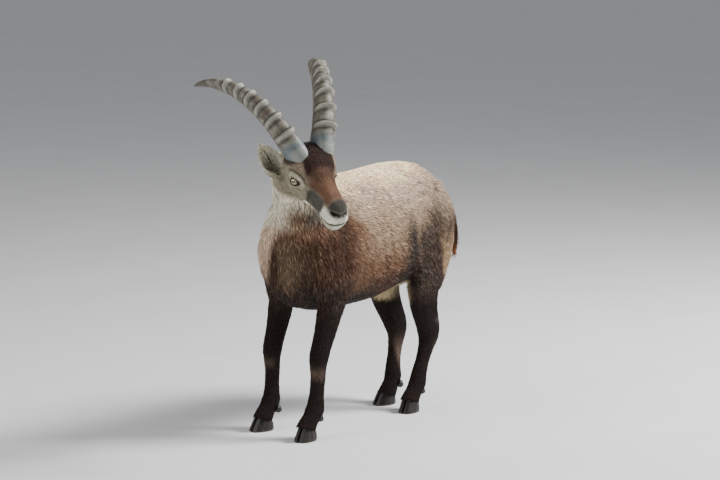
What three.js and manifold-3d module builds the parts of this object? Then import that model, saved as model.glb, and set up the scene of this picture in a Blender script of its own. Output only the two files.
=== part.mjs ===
// An alpine ibex, a young male about four years old, standing with its head turned to its left.
// Lengths are millimetres and +Z is up. The animal faces -Y, and its left side is +X.
import * as THREE from "three";
import { mergeVertices } from "three/addons/utils/BufferGeometryUtils.js";
import Module from "manifold-3d";

const wasm = await Module();
wasm.setup();

// Driving dimensions, coat included
const withersHeight = 800;
const chestFloor = 370; // height of the breastbone between the forelegs
const trunkFront = -398;
const trunkBack = 440;
const barrelHalfWidth = 143;
const headLength = 292; // occiput to nose
const headTurn = 72; // degrees to the left of straight ahead
const headPitch = 33; // degrees below level
const headRoll = 10;
const headAt = [110, -416, 872]; // the occiput
const hornLength = 484; // along the curve, its root in the skull included
const hornDepth = 104; // front to back at the base
const hornWidth = 66;
const hornBosses = [0.186, 0.294, 0.398, 0.49, 0.58, 0.672]; // shares of the horn's length
const earLength = 102;
const eyeRadius = 15;
const mouthGap = 1.6;
const coronetHeight = 34; // where the claws start, at the foot's middle
const fetlockHeight = 90;
const tailLength = 215;
const seam = 0.3; // gap between nodes that meet
const sliver = 0.04; // faces thinner than this are taken out after the cuts

const sides = { left: 1, right: -1 };

// Small helpers
const rad = THREE.MathUtils.degToRad;
const lerp = THREE.MathUtils.lerp;
const smooth = THREE.MathUtils.smoothstep;
const vec = (x, y, z) => new THREE.Vector3(x, y, z);
const bump = (x, middle, reach) => Math.exp(-(((x - middle) / reach) ** 2));
const signedPower = (x, p) => Math.sign(x) * Math.abs(x) ** p;

// Reads rows of numbers as one smooth curve, t from 0 at the first row to 1 at the last.
function rowAt(rows, t) {
  const place = Math.min(Math.max(t, 0), 1) * (rows.length - 1);
  const i = Math.min(Math.floor(place), rows.length - 2);
  const f = place - i;
  const [before, a, b, after] = [i - 1, i, i + 1, i + 2].map(
    (n) => rows[Math.min(Math.max(n, 0), rows.length - 1)],
  );
  return a.map((value, k) => {
    const slopeA = (b[k] - before[k]) / 2;
    const slopeB = (after[k] - value) / 2;
    const rise = b[k] - value;
    return value + f * (slopeA + f * (3 * rise - 2 * slopeA - slopeB + f * (slopeA + slopeB - 2 * rise)));
  });
}

// A closed geometry as a solid that can be joined and cut, turned outside out where it needs it.
function solidOf(geometry, matrix = new THREE.Matrix4()) {
  const bare = geometry.clone().applyMatrix4(matrix);
  bare.deleteAttribute("normal");
  bare.deleteAttribute("uv");
  const merged = mergeVertices(bare, 1e-4);
  const triVerts = new Uint32Array(merged.index.array);
  const make = () =>
    new wasm.Manifold(
      new wasm.Mesh({ numProp: 3, vertProperties: merged.attributes.position.array, triVerts }),
    );
  const solid = make();
  if (solid.volume() > 0) return solid;
  for (let i = 0; i < triVerts.length; i += 3) {
    [triVerts[i + 1], triVerts[i + 2]] = [triVerts[i + 2], triVerts[i + 1]];
  }
  return make();
}

function geometryOf(solid) {
  const mesh = solid.getMesh();
  const geometry = new THREE.BufferGeometry();
  const position = new Float32Array(mesh.numVert * 3);
  for (let i = 0; i < mesh.numVert; i++) {
    position.set(mesh.vertProperties.subarray(i * mesh.numProp, i * mesh.numProp + 3), i * 3);
  }
  geometry.setAttribute("position", new THREE.BufferAttribute(position, 3));
  geometry.setIndex(new THREE.BufferAttribute(new Uint32Array(mesh.triVerts), 1));
  return geometry;
}

const joined = (solids) => solids.reduce((sum, solid) => sum.add(solid));
const cut = (solid, tools) => tools.reduce((rest, tool) => rest.subtract(tool), solid);
const largest = (solid) => solid.decompose().sort((a, b) => b.volume() - a.volume())[0];

// A closed surface over rings of points, each end drawn flat to its middle.
function skinOver(rings) {
  const around = rings[0].length;
  const points = rings.flat();
  const faces = [];
  for (let r = 0; r + 1 < rings.length; r++) {
    for (let k = 0; k < around; k++) {
      const a = r * around + k;
      const b = r * around + ((k + 1) % around);
      faces.push([a, b, b + around], [a, b + around, a + around]);
    }
  }
  [rings[0], rings.at(-1)].forEach((ring, end) => {
    const middle = ring.reduce((sum, p) => sum.add(p), vec(0, 0, 0)).divideScalar(around);
    points.push(middle);
    const first = end * (rings.length - 1) * around;
    for (let k = 0; k < around; k++) {
      const pair = [first + k, first + ((k + 1) % around)];
      faces.push(end ? [pair[0], pair[1], points.length - 1] : [pair[1], pair[0], points.length - 1]);
    }
  });
  const geometry = new THREE.BufferGeometry().setFromPoints(points);
  geometry.setIndex(faces.flat());
  return solidOf(geometry);
}

// A rounded body strung on rows [x, y, z, half width, half depth, heading in degrees].
// The half width lies along the heading's left, and shape() may change a section's outline.
function limb(rows, { around, steps, round = [0, 0], shape = (c, s) => [c, s] }) {
  const rings = [];
  for (let j = 0; j <= steps; j++) {
    const even = j / steps;
    const t = round[0] || round[1] ? lerp(even, (1 - Math.cos(Math.PI * even)) / 2, 0.6) : even;
    const row = rowAt(rows, t);
    const [x, y, z, halfWidth, halfDepth, heading = 0] = row;
    const ahead = vec(...rowAt(rows, t + 0.01)).sub(vec(...rowAt(rows, t - 0.01))).normalize();
    const left = vec(Math.cos(rad(heading)), Math.sin(rad(heading)), 0);
    left.addScaledVector(ahead, -left.dot(ahead)).normalize();
    const depth = vec(0, 0, 0).crossVectors(ahead, left);
    const capped = (share, reach) => (reach && share < reach ? Math.sqrt(1 - (1 - share / reach) ** 2) : 1);
    const cap = Math.max(capped(t, round[0]) * capped(1 - t, round[1]), 0.02);
    const ring = [];
    for (let k = 0; k < around; k++) {
      const angle = (2 * Math.PI * k) / around;
      const [c, s] = shape(Math.cos(angle), Math.sin(angle), t, row);
      ring.push(
        vec(x, y, z)
          .addScaledVector(left, c * halfWidth * cap)
          .addScaledVector(depth, s * halfDepth * cap),
      );
    }
    rings.push(ring);
  }
  return skinOver(rings);
}

// A thin slab that parts a solid: a point on the cut, the cut's normal, and its width and height.
function slab(at, normal, width, height = width) {
  const turn = new THREE.Quaternion().setFromUnitVectors(vec(0, 0, 1), vec(...normal).normalize());
  const matrix = new THREE.Matrix4().compose(vec(...at), turn, vec(1, 1, 1));
  return solidOf(new THREE.BoxGeometry(width, height, seam), matrix);
}

// Trunk: rows are [y, top, bottom, half width, how much narrower the top is]
const trunkRows = [
  [trunkFront, 668, 520, 58, 0.06],
  [-350, 738, 440, 104, 0.12],
  [-285, 778, 388, 118, 0.2],
  [-205, withersHeight, chestFloor, 126, 0.26],
  [-120, 795, chestFloor, 136, 0.22],
  [-20, 797, 374, barrelHalfWidth, 0.16],
  [80, 806, 380, barrelHalfWidth, 0.13],
  [180, 812, 398, 134, 0.13],
  [268, 804, 432, 120, 0.14],
  [345, 764, 474, 106, 0.14],
  [402, 702, 520, 88, 0.08],
  [trunkBack, 636, 560, 58, 0.04],
];

function makeTrunk() {
  const rows = trunkRows.map(([y, top, bottom, halfWidth, narrow]) => [
    0, y, (top + bottom) / 2, halfWidth, (top - bottom) / 2, 0, narrow,
  ]);
  const shape = (c, s, t, row) => {
    const up = -s; // the section's depth axis points down
    return [signedPower(c, 0.92) * (1 - row[6] * up - 0.22 * up * up), signedPower(s, 0.94)];
  };
  return limb(rows, { around: 24, steps: 26, round: [0.06, 0.06], shape });
}

// Shoulder and thigh muscle over the trunk's side
function makeShoulder(side) {
  const rows = [
    [56 * side, -190, 764, 34, 42],
    [74 * side, -222, 700, 44, 72],
    [86 * side, -254, 620, 48, 86],
    [90 * side, -262, 545, 49, 84],
    [92 * side, -254, 480, 47, 72],
    [100 * side, -244, 425, 43, 56],
    [103 * side, -244, 375, 38, 46],
  ];
  return limb(rows, { around: 14, steps: 10, round: [0.2, 0.1] });
}

function makeThigh(side) {
  const rows = [
    [42 * side, 286, 738, 30, 44],
    [58 * side, 300, 700, 46, 76],
    [72 * side, 296, 620, 55, 110],
    [79 * side, 276, 545, 54, 120],
    [84 * side, 254, 480, 50, 104],
    [88 * side, 242, 425, 46, 86],
    [90 * side, 240, 375, 41, 70],
  ];
  return limb(rows, { around: 14, steps: 11, round: [0.2, 0.1] });
}

// Legs: rows are [height, bend back from the straight line, half width, half depth]
const foreRows = [
  [440, 9, 40, 52],
  [400, 12, 39, 47],
  [355, 7, 36, 43],
  [310, -1, 32, 37],
  [278, -8, 31, 34],
  [250, -12, 31, 33],
  [222, -10, 26, 30],
  [190, -4, 24, 26],
  [145, 0, 23, 25],
  [112, 2, 25, 29],
  [90, 2, 28, 34],
  [66, -12, 26, 30],
  [44, -28, 29, 34],
  [24, -40, 31, 38],
  [2, -54, 31, 38],
];
const hindRows = [
  [440, -10, 44, 84],
  [400, -10, 42, 74],
  [360, -4, 39, 64],
  [320, 10, 34, 56],
  [285, 26, 32, 50],
  [258, 36, 32, 48],
  [232, 38, 30, 42],
  [205, 32, 25, 32],
  [160, 18, 22, 26],
  [118, 6, 25, 29],
  [90, 2, 28, 33],
  [66, -12, 26, 30],
  [44, -28, 29, 34],
  [24, -40, 31, 38],
  [2, -54, 31, 38],
];
const legTop = 440;
const feet = {
  fore_left: { rows: foreRows, top: [103, -256], fetlock: [106, -334], toe: 4 },
  fore_right: { rows: foreRows, top: [-103, -252], fetlock: [-96, -308], toe: -8 },
  hind_left: { rows: hindRows, top: [88, 250], fetlock: [90, 200], toe: 6 },
  hind_right: { rows: hindRows, top: [-88, 252], fetlock: [-48, 246], toe: -10 },
};
const footAhead = 38; // how far the hoof's middle is in front of the fetlock

const footMatrix = ({ fetlock, toe }) =>
  new THREE.Matrix4()
    .makeTranslation(fetlock[0], fetlock[1] - footAhead, 0)
    .multiply(new THREE.Matrix4().makeRotationZ(rad(toe)));

// The plane between hair and hoof slopes down to the heel.
const coronetNormal = vec(0, 1 / 3, 1).normalize();

function coronetPlane(foot, drop = 0) {
  const matrix = footMatrix(foot);
  const normal = coronetNormal.clone().transformDirection(matrix);
  const at = vec(0, 0, coronetHeight - drop).applyMatrix4(matrix);
  return { normal, offset: normal.dot(at) };
}

function makeLeg(foot) {
  const { rows, top, fetlock } = foot;
  const placed = rows.map(([height, bend, halfWidth, halfDepth]) => {
    const share = Math.max((height - fetlockHeight) / (legTop - fetlockHeight), -0.1);
    const x = lerp(fetlock[0], top[0], share);
    return [x, lerp(fetlock[1], top[1], share) + bend, height, halfWidth, halfDepth, 0];
  });
  const { normal, offset } = coronetPlane(foot);
  return limb(placed, { around: 12, steps: 24 }).trimByPlane(normal.toArray(), offset);
}

// Claw of a cloven hoof: the toe points to -Y and the sole is flat at z = 0
function makeClaw(foot, side) {
  const levels = [
    [0, 35, -46, 25],
    [9, 36, -44, 25],
    [26, 34, -34, 23],
    [56, 32, -16, 20],
  ];
  const around = 12;
  const innerWall = 3.4;
  const rings = levels.map(([z, heel, toe, width]) =>
    Array.from({ length: around }, (_, k) => {
      const angle = (2 * Math.PI * k) / around;
      const lengthwise = Math.cos(angle); // 1 at the heel and -1 at the toe
      const full = Math.sin(angle) ** 2 ? Math.abs(Math.sin(angle)) ** 0.8 : 0;
      const fromMiddle = Math.sin(angle) > 0 ? innerWall + full * width : innerWall + 1.5 * (1 - full);
      return vec(fromMiddle * side, lerp(toe, heel, (lengthwise + 1) / 2), z);
    }),
  );
  const claw = skinOver(rings).transform(footMatrix(foot).elements);
  const { normal, offset } = coronetPlane(foot, seam);
  return claw.trimByPlane(normal.clone().negate().toArray(), -offset);
}

// Dew claw behind the fetlock, larger all round by room where it is the pocket that holds one
function makeDewClaw(foot, side, room = 0) {
  const root = seam - room;
  const rows = [
    [13 * side, footAhead + 6 + root, 70, 9 + room, 9 + room, 0],
    [14 * side, footAhead + 22, 61, 9 + room, 8 + room, 0],
    [15 * side, footAhead + 28, 50, 5 + room, 4 + room, 0],
  ];
  const solid = limb(rows, { around: 7, steps: 3, round: [0, 0.3] });
  return solid.transform(footMatrix(foot).elements);
}

// Head frame: x to the nose, y to the head's left, z up from the brow. The head's own rows and
// places are drawn for a head of headRowsLength and grow with it.
const headRowsLength = 278;
const headScale = headLength / headRowsLength;
const headMatrix = new THREE.Matrix4().compose(
  vec(...headAt),
  new THREE.Quaternion().setFromEuler(
    new THREE.Euler(rad(headRoll), rad(headPitch), rad(headTurn - 90), "ZYX"),
  ),
  vec(headScale, headScale, headScale),
);
const inHead = (a, b, c) => vec(a, b, c).applyMatrix4(headMatrix);
const headSolid = (solid) => solid.transform(headMatrix.elements);

// Neck: rows are [x, y, z, half width, half depth, heading]
function makeNeck() {
  const nape = inHead(30, 0, 6);
  const rows = [
    [0, -160, 556, 88, 172, 0],
    [7, -235, 640, 92, 160, 5],
    [18, -291, 712, 83, 126, 18],
    [43, -348, 780, 72, 90, 38],
    [72, -392, 830, 64, 76, 58],
    [nape.x, nape.y, nape.z, 52, 56, headTurn],
  ];
  return limb(rows, { around: 20, steps: 15, round: [0, 0.08] });
}

// Head rows are [x, top, bottom, half width above, half width below]
const headRows = [
  [0, 56, -48, 52, 44],
  [30, 77, -66, 62, 52],
  [60, 95, -80, 69, 57],
  [90, 101, -76, 67, 56],
  [120, 86, -66, 58, 47],
  [152, 68, -58, 44, 38],
  [186, 57, -54, 36, 30],
  [220, 52, -59, 34, 31],
  [250, 43, -63, 33, 31],
  [headRowsLength, 18, -50, 22, 21],
];
const eyeAt = [103, 58, 16];
const eyeLook = [0.44, 0.82, 0.3];

// Height of the mouth line along the head
const mouthLine = (x) => lerp(-32, -18, smooth(x, 205, 252)) - 2 * bump(x, 262, 12);

function makeSkull() {
  const rows = headRows.map(([x, top, bottom, upper, lower]) => [
    x, 0, (top + bottom) / 2, 1, (top - bottom) / 2, 90, upper, lower,
  ]);
  const shape = (c, s, t, row) => {
    const [x, , middle, , halfDepth] = row;
    const z = middle + s * halfDepth;
    const width = lerp(row[7], row[6], smooth(s, -0.7, 0.5));
    const brow = 5 * bump(x, eyeAt[0] - 4, 24) * bump(z, eyeAt[2] + 24, 12);
    const socket = -6 * bump(x, eyeAt[0] + 24, 16) * bump(z, eyeAt[2] - 6, 16);
    const cheekBone = 4 * bump(x, 84, 26) * bump(z, eyeAt[2] - 26, 10);
    const lips = smooth(x, 196, 214) * 3 * (bump(z, mouthLine(x) + 9, 6) + bump(z, mouthLine(x) - 9, 6));
    const side = width + (brow + socket + cheekBone + lips) * Math.abs(c);
    const boxy = s > 0 ? 0.34 * bump(x, 72, 46) : 0; // the forehead that carries the horns
    return [signedPower(c, 0.86 - boxy) * side, signedPower(s, 0.92 - boxy)];
  };
  return limb(rows, { around: 26, steps: 32, round: [0, 0.07], shape });
}

// Eyeball, its socket and the lids round it, with an almond opening
const eyePlace = (side) => vec(eyeAt[0], eyeAt[1] * side, eyeAt[2]);
const eyeWay = (side) => vec(eyeLook[0], eyeLook[1] * side, eyeLook[2]).normalize();

function eyeBall(side, radius, stretch = [1, 1, 1]) {
  const turn = new THREE.Quaternion().setFromUnitVectors(vec(0, 1, 0), eyeWay(side));
  const matrix = new THREE.Matrix4().compose(eyePlace(side), turn, vec(...stretch));
  return headSolid(solidOf(new THREE.SphereGeometry(radius, 16, 10), matrix));
}

const makeEye = (side) => eyeBall(side, eyeRadius);
const makeSocket = (side) => eyeBall(side, eyeRadius + seam);
const makeLids = (side) => eyeBall(side, eyeRadius + 2.4, [1.12, 1, 0.96]);

function makeEyeOpening(side) {
  const almond = new THREE.Shape();
  const reach = 14.5;
  const height = 11;
  almond.moveTo(-reach, 1);
  almond.quadraticCurveTo(-2, height * 2, reach, -2);
  almond.quadraticCurveTo(1, -height * 1.8, -reach, 1);
  const block = new THREE.ExtrudeGeometry(almond, { depth: 30, bevelEnabled: false, curveSegments: 6 });
  const look = eyeWay(side);
  const across = vec(0, 0, 1).cross(look).normalize().multiplyScalar(-side);
  const up = vec(0, 0, 0).crossVectors(look, across).multiplyScalar(-side);
  const basis = new THREE.Matrix4().makeBasis(across, up, look);
  basis.setPosition(eyePlace(side));
  return headSolid(solidOf(block, basis));
}

function makeNostril(side) {
  const rows = [
    [289, 23 * side, 10, 3, 6, 90],
    [274, 16 * side, 14, 4.5, 7, 90],
    [258, 10 * side, 18, 3, 5, 90],
    [244, 7 * side, 20, 1.5, 2, 90],
  ];
  return headSolid(limb(rows, { around: 8, steps: 5 }));
}

// The closed mouth is a narrow slit across the muzzle.
function makeMouth() {
  const upper = [];
  const lower = [];
  const parts = 8;
  const corner = 207;
  for (let i = 0; i <= parts; i++) {
    const x = lerp(corner, headRowsLength + 12, i / parts);
    const gap = (mouthGap / 2) * smooth(i / parts, -0.2, 0.2);
    upper.push(new THREE.Vector2(x, mouthLine(x) + gap));
    lower.push(new THREE.Vector2(x, mouthLine(x) - gap));
  }
  const width = 100;
  const plate = new THREE.ExtrudeGeometry(new THREE.Shape([...upper, ...lower.reverse()]), {
    depth: width,
    bevelEnabled: false,
  });
  const standing = new THREE.Matrix4().makeRotationX(Math.PI / 2).setPosition(0, width / 2, 0);
  return headSolid(solidOf(plate, standing));
}

// Horn: a flat front face with bosses across it, curved back and outwards
function hornPath(side) {
  const points = [];
  const at = vec(62, 31 * side, 49);
  const parts = 40;
  for (let i = 0; i <= parts; i++) {
    const share = i / parts;
    points.push(at.clone());
    const lift = rad(lerp(52, -49, share)); // above the line back from the nose
    const spread = rad(lerp(22, 18, share));
    const step = hornLength / headScale / parts;
    at.x -= Math.cos(lift) * Math.cos(spread) * step;
    at.z += Math.sin(lift) * Math.cos(spread) * step;
    at.y += Math.sin(spread) * side * step;
  }
  return new THREE.CatmullRomCurve3(points);
}

function makeHorn(side, room = 0) {
  const path = hornPath(side);
  const stops = [(seam - room) / hornLength];
  const crest = [-0.032, -0.014, 0, 0.012, 0.026];
  hornBosses.forEach((boss) => crest.forEach((d) => stops.push(boss + d)));
  const smoothParts = 6;
  for (let i = 0; i <= smoothParts; i++) stops.push(lerp(0.725, 0.995, i / smoothParts));
  const around = 12;
  const rings = stops.map((share) => {
    const at = path.getPointAt(share);
    const ahead = path.getTangentAt(share);
    const front = vec(0.62, 0.1 * side, 0.78);
    front.addScaledVector(ahead, -front.dot(ahead)).normalize();
    const across = vec(0, 0, 0).crossVectors(ahead, front);
    const thin = (1 - share) ** 0.55 * lerp(1, 0.9, share);
    const flare = 1 + 0.12 * bump(share, 0.03, 0.06);
    const halfDepth = Math.max((hornDepth / 2) * thin * flare, 2.5) + room;
    const root = lerp(0.84, 1, smooth(share, 0, 0.12));
    const halfWidth = Math.max((hornWidth / 2) * thin * root, 2) + room;
    const boss = 11.5 * hornBosses.reduce((sum, b) => sum + bump(share, b, 0.014), 0);
    return Array.from({ length: around }, (_, k) => {
      const angle = (2 * Math.PI * k) / around;
      const c = signedPower(Math.cos(angle), 0.72);
      const s = signedPower(Math.sin(angle), 0.8);
      const wide = 1 - 0.3 * smooth(-c, -0.2, 1);
      return at
        .clone()
        .addScaledVector(front, c * halfDepth + boss * smooth(c, 0.1, 0.9))
        .addScaledVector(across, s * (halfWidth * wide + boss * 0.3 * smooth(c, -0.4, 0.6)));
    });
  });
  return headSolid(skinOver(rings));
}

// Ear: a cupped leaf, its edges rolled in towards the root. The left one is laid back.
const earWays = {
  left: { reach: [-0.9, 0.36, 0.25], open: [0.3, 0.9, 0.3] },
  right: { reach: [-0.75, -0.38, 0.53], open: [0.7, -0.07, 0.71] },
};
function makeEar(name, room = 0) {
  const root = vec(27, 61 * sides[name], -20);
  const reach = vec(...earWays[name].reach).normalize();
  const open = vec(...earWays[name].open);
  open.addScaledVector(reach, -open.dot(reach)).normalize();
  const across = vec(0, 0, 0).crossVectors(reach, open);
  const steps = 11;
  const half = 6;
  const rings = [];
  for (let j = 0; j <= steps; j++) {
    const share = Math.max(j / steps, (seam - room) / earLength);
    const leaf = Math.sin(Math.PI * Math.min(share * 0.72 + 0.16, 1)) ** 1.3;
    const width = lerp(13, 31, leaf) * Math.sqrt(1 - Math.min(share, 1) ** 4);
    const bend = lerp(150, 40, smooth(share, 0, 0.75)); // how far round the leaf wraps
    const wall = lerp(3.6, 1.3, share);
    const hollow = smooth(share, 0.02, 0.2);
    const middle = root.clone().addScaledVector(reach, share * earLength);
    middle.addScaledVector(open, -12 * Math.sin(Math.PI * share));
    const radius = Math.max(width, 3) / Math.sin(rad(Math.min(bend, 90)));
    const outer = [];
    const inner = [];
    for (let k = 0; k <= half; k++) {
      const along = (2 * k) / half - 1; // -1 and 1 at the leaf's edges
      const turn = rad(bend) * along + (Math.abs(along) === 1 ? (along * room * 1.5) / radius : 0);
      const out = across.clone().multiplyScalar(Math.sin(turn)).addScaledVector(open, -Math.cos(turn));
      const centre = middle.clone().addScaledVector(open, radius * Math.min(1, Math.cos(rad(bend)) + 0.35));
      outer.push(centre.clone().addScaledVector(out, radius + wall + room));
      inner.push(centre.clone().addScaledVector(out, Math.max((radius - wall) * hollow, 1.2) - room));
    }
    rings.push([...outer, ...inner.reverse()]);
  }
  return headSolid(skinOver(rings));
}

// Tail: short and hanging, flat below and tufted at its end
function makeTail(room = 0) {
  const root = trunkBack - 58 + seam - room;
  const rows = [
    [0, root, 690, 26, 18, 0],
    [1, trunkBack - 8, 682, 25, 17, 0],
    [4, trunkBack + 26, 682 - 0.2 * tailLength, 24, 16, 0],
    [9, trunkBack + 44, 682 - 0.45 * tailLength, 24, 15, 0],
    [14, trunkBack + 52, 682 - 0.7 * tailLength, 20, 12, 0],
    [18, trunkBack + 54, 682 - tailLength, 7, 5, 0],
  ].map(([x, y, z, halfWidth, halfDepth, heading]) => [x, y, z, halfWidth + room, halfDepth + room, heading]);
  return limb(rows, { around: 12, steps: 12, round: [0, 0.12] });
}

// Materials
const coat = (color) => new THREE.MeshStandardMaterial({ color, roughness: 0.95, metalness: 0 });
const flank = coat(0x8a6a52);
const darkHair = coat(0x3a2620);
const paleHair = coat(0x9c8672);
const faceHair = coat(0x6d4a38);
const hornMatter = new THREE.MeshStandardMaterial({ color: 0x7d7668, roughness: 0.6, metalness: 0 });
const hoofMatter = new THREE.MeshStandardMaterial({ color: 0x2a2522, roughness: 0.5, metalness: 0 });
const eyeMatter = new THREE.MeshStandardMaterial({ color: 0xb89a5a, roughness: 0.1, metalness: 0 });

const ibex = new THREE.Group();
function add(name, solid, material) {
  const mesh = new THREE.Mesh(geometryOf(largest(solid.simplify(sliver))), material);
  mesh.name = name;
  ibex.add(mesh);
}

// The pieces that grow from the flesh, and the pockets that hold their roots
const pockets = [makeTail(seam), makeMouth()];
add("tail", makeTail(), darkHair);
for (const [name, side] of Object.entries(sides)) {
  add("horn_" + name, makeHorn(side), hornMatter);
  add("ear_" + name, makeEar(name), paleHair);
  add("eye_" + name, makeEye(side), eyeMatter);
  pockets.push(makeHorn(side, seam), makeEar(name, 3 * seam), makeSocket(side));
  pockets.push(makeEyeOpening(side), makeNostril(side));
}
for (const [name, foot] of Object.entries(feet)) {
  for (const [end, side] of [["outer", Math.sign(foot.top[0])], ["inner", -Math.sign(foot.top[0])]]) {
    add(`claw_${name}_${end}`, makeClaw(foot, side), hoofMatter);
    add(`dewclaw_${name}_${end}`, makeDewClaw(foot, side), hoofMatter);
    pockets.push(makeDewClaw(foot, side, seam));
  }
}

// The flesh as one body, then the cuts that part it
const bothSides = Object.values(sides);
const flesh = joined([
  makeTrunk(),
  makeNeck(),
  headSolid(makeSkull()),
  ...bothSides.flatMap((side) => [makeShoulder(side), makeThigh(side), makeLids(side)]),
  ...Object.values(feet).map(makeLeg),
]);
const throatWay = vec(0.44, -0.21, 0.87).transformDirection(headMatrix).toArray();
const legCut = chestFloor - 8;
const cuts = [
  slab(inHead(-23, 0, -50).toArray(), throatWay, 260),
  slab([0, -298, 682], [0, -0.777, 0.63], 420),
  slab([0, -112, 600], [0, 1, 0], 500),
  slab([0, 134, 600], [0, 1, 0], 500),
  slab([0, 0, legCut], [0, 0, 1], 1200),
  slab([0, -300, 270], [0, 0, 1], 400),
  slab([0, -300, 110], [0, 0, 1], 400),
  slab([0, 250, 290], [0, 0, 1], 400),
  slab([0, 250, 110], [0, 0, 1], 400),
];
const bodyNodes = [
  ["head", [200, -440, 880], faceHair],
  ["neck", [30, -360, 780], paleHair],
  ["chest", [0, -230, 580], flank],
  ["barrel", [0, 10, 580], flank],
  ["hindquarters", [0, 290, 580], flank],
];
for (const [name, foot] of Object.entries(feet)) {
  const [x, y] = foot.fetlock;
  const upperLeg = name.replace("fore", "forearm").replace("hind", "gaskin");
  bodyNodes.push([upperLeg, [x, y, 330], darkHair]);
  bodyNodes.push([name.replace("_", "_cannon_"), [x, y, 195], darkHair]);
  bodyNodes.push([name.replace("_", "_foot_"), [x, y, 72], darkHair]);
}

const pieces = cut(cut(flesh, pockets), cuts).decompose();
const middleOf = (solid) => {
  const { min, max } = solid.boundingBox();
  return vec(...min).lerp(vec(...max), 0.5);
};
for (const [name, near, material] of bodyNodes) {
  const distance = (solid) => middleOf(solid).distanceTo(vec(...near));
  const nearby = pieces.filter((solid) => solid.volume() > 1e5);
  add(name, nearby.sort((a, b) => distance(a) - distance(b))[0], material);
}

// The origin is on the floor under the middle of the whole animal.
const box = new THREE.Box3().setFromObject(ibex);
ibex.position.set(-(box.min.x + box.max.x) / 2, -(box.min.y + box.max.y) / 2, -box.min.z);

export default ibex;
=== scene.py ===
# An alpine ibex, a young male, standing with its head turned to its left.
# Blender works in metres. Inside the drawing functions lengths are millimetres of the animal:
# x to its left from the spine, y to its tail and z up from the floor.
import bpy
import bmesh
import math
import numpy as np
from mathutils import Matrix, Vector
from mathutils.bvhtree import BVHTree


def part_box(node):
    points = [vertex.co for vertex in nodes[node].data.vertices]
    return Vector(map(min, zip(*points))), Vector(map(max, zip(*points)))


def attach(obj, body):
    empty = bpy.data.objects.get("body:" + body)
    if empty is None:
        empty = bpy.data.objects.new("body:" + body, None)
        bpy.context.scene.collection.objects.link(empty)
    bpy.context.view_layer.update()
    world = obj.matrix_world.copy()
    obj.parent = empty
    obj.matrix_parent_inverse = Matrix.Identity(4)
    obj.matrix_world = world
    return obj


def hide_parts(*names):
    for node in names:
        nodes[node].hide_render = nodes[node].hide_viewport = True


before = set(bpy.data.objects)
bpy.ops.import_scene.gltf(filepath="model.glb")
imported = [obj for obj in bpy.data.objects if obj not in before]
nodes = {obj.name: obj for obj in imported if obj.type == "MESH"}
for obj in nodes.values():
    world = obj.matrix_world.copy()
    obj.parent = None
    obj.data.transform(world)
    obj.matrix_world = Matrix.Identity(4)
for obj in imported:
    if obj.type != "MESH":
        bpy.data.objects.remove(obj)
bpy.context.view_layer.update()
legs = ["fore_left", "fore_right", "hind_left", "hind_right"]
sides = {"left": 1, "right": -1}
print("frame loaded,", len(nodes), "nodes")


# Small helpers

def boxOf(name):
    low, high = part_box(name)
    return np.array(low), np.array(high)


def step(x, start, end):
    t = np.clip((x - start) / (end - start), 0, 1)
    return t * t * (3 - 2 * t)


def fall(x, start, end):
    # 1 up to start and 0 from end on
    return step(-x, -end, -start)


def hill(x, middle, reach):
    return np.exp(-(((x - middle) / reach) ** 2))


def unit(v):
    return v / np.maximum(np.linalg.norm(v, axis=-1, keepdims=True), 1e-12)


def tone(code):
    s = np.array([int(code[i:i + 2], 16) for i in (0, 2, 4)]) / 255
    return np.where(s < 0.04045, s / 12.92, ((s + 0.055) / 1.055) ** 2.4)


def paint(colour, over, share):
    return colour + (over - colour) * np.clip(share, 0, 1)[:, None]


def tonesOf(codes):
    return {name: tone(code) for name, code in codes.items()}


def layered(own, base, count, layers):
    # a base tone with pairs of a tone's name and a share painted over it, in turn
    colour = np.tile(own[base], (count, 1))
    for name, share in layers:
        colour = paint(colour, own[name], share)
    return colour


def signedPower(v, power):
    return np.sign(v) * np.abs(v) ** power


def wobble(points, size, seed):
    # smooth noise from a few sine waves, about -1 to 1
    rng = np.random.default_rng(seed)
    total = np.zeros(len(points))
    for _ in range(6):
        way = unit(rng.normal(size=3)) * 2 * math.pi / (size * rng.uniform(0.6, 1.6))
        total += np.sin(points @ way + rng.uniform(0, 6.28))
    return total / 3


def mottle(points):
    # the light and dark of the hide from place to place
    return 1 + 0.1 * wobble(points * 1000, 26, 3)


# Where the body and the head are
barrelLow, barrelHigh = boxOf("barrel")
spineAt = np.array([(barrelLow[0] + barrelHigh[0]) / 2, barrelLow[1] + 0.112, 0])

headPose = {
    "turn": 72,  # degrees to the animal's left
    "pitch": 33,  # degrees below level
    "roll": 10,
    "scale": 292 / 278,  # the head's length over the length that its places are drawn for
    "eye": (103, 58, 16),
    "eyeLook": (0.44, 0.82, 0.3),
    "eyeRadius": 15,
    "hornRoot": (62, 31, 49),
    "hornWay": (-0.571, 0.375, 0.731),
    "hornFace": (0.62, 0.1, 0.78),  # the way that the bossed side looks
    "earRoot": (27, 61, -20),
}
eyeCentres = {side: sum(boxOf("eye_" + side)) / 2 for side in sides}
headTurn = np.array(
    Matrix.Rotation(math.radians(headPose["turn"] - 90), 3, "Z")
    @ Matrix.Rotation(math.radians(headPose["pitch"]), 3, "Y")
    @ Matrix.Rotation(math.radians(headPose["roll"]), 3, "X")
)
betweenEyes = np.array([headPose["eye"][0], 0, headPose["eye"][2]]) * headPose["scale"] / 1000
headOrigin = (eyeCentres["left"] + eyeCentres["right"]) / 2 - headTurn @ betweenEyes


def toBody(points):
    return (points - spineAt) * 1000


def toHead(points):
    return (points - headOrigin) @ headTurn / headPose["scale"] * 1000


def fromHead(points):
    return headOrigin + (np.asarray(points) * headPose["scale"] / 1000) @ headTurn.T


# Meshes and objects

def newObject(name, mesh):
    piece = bpy.data.objects.new(name, mesh)
    bpy.context.scene.collection.objects.link(piece)
    return piece


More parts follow.
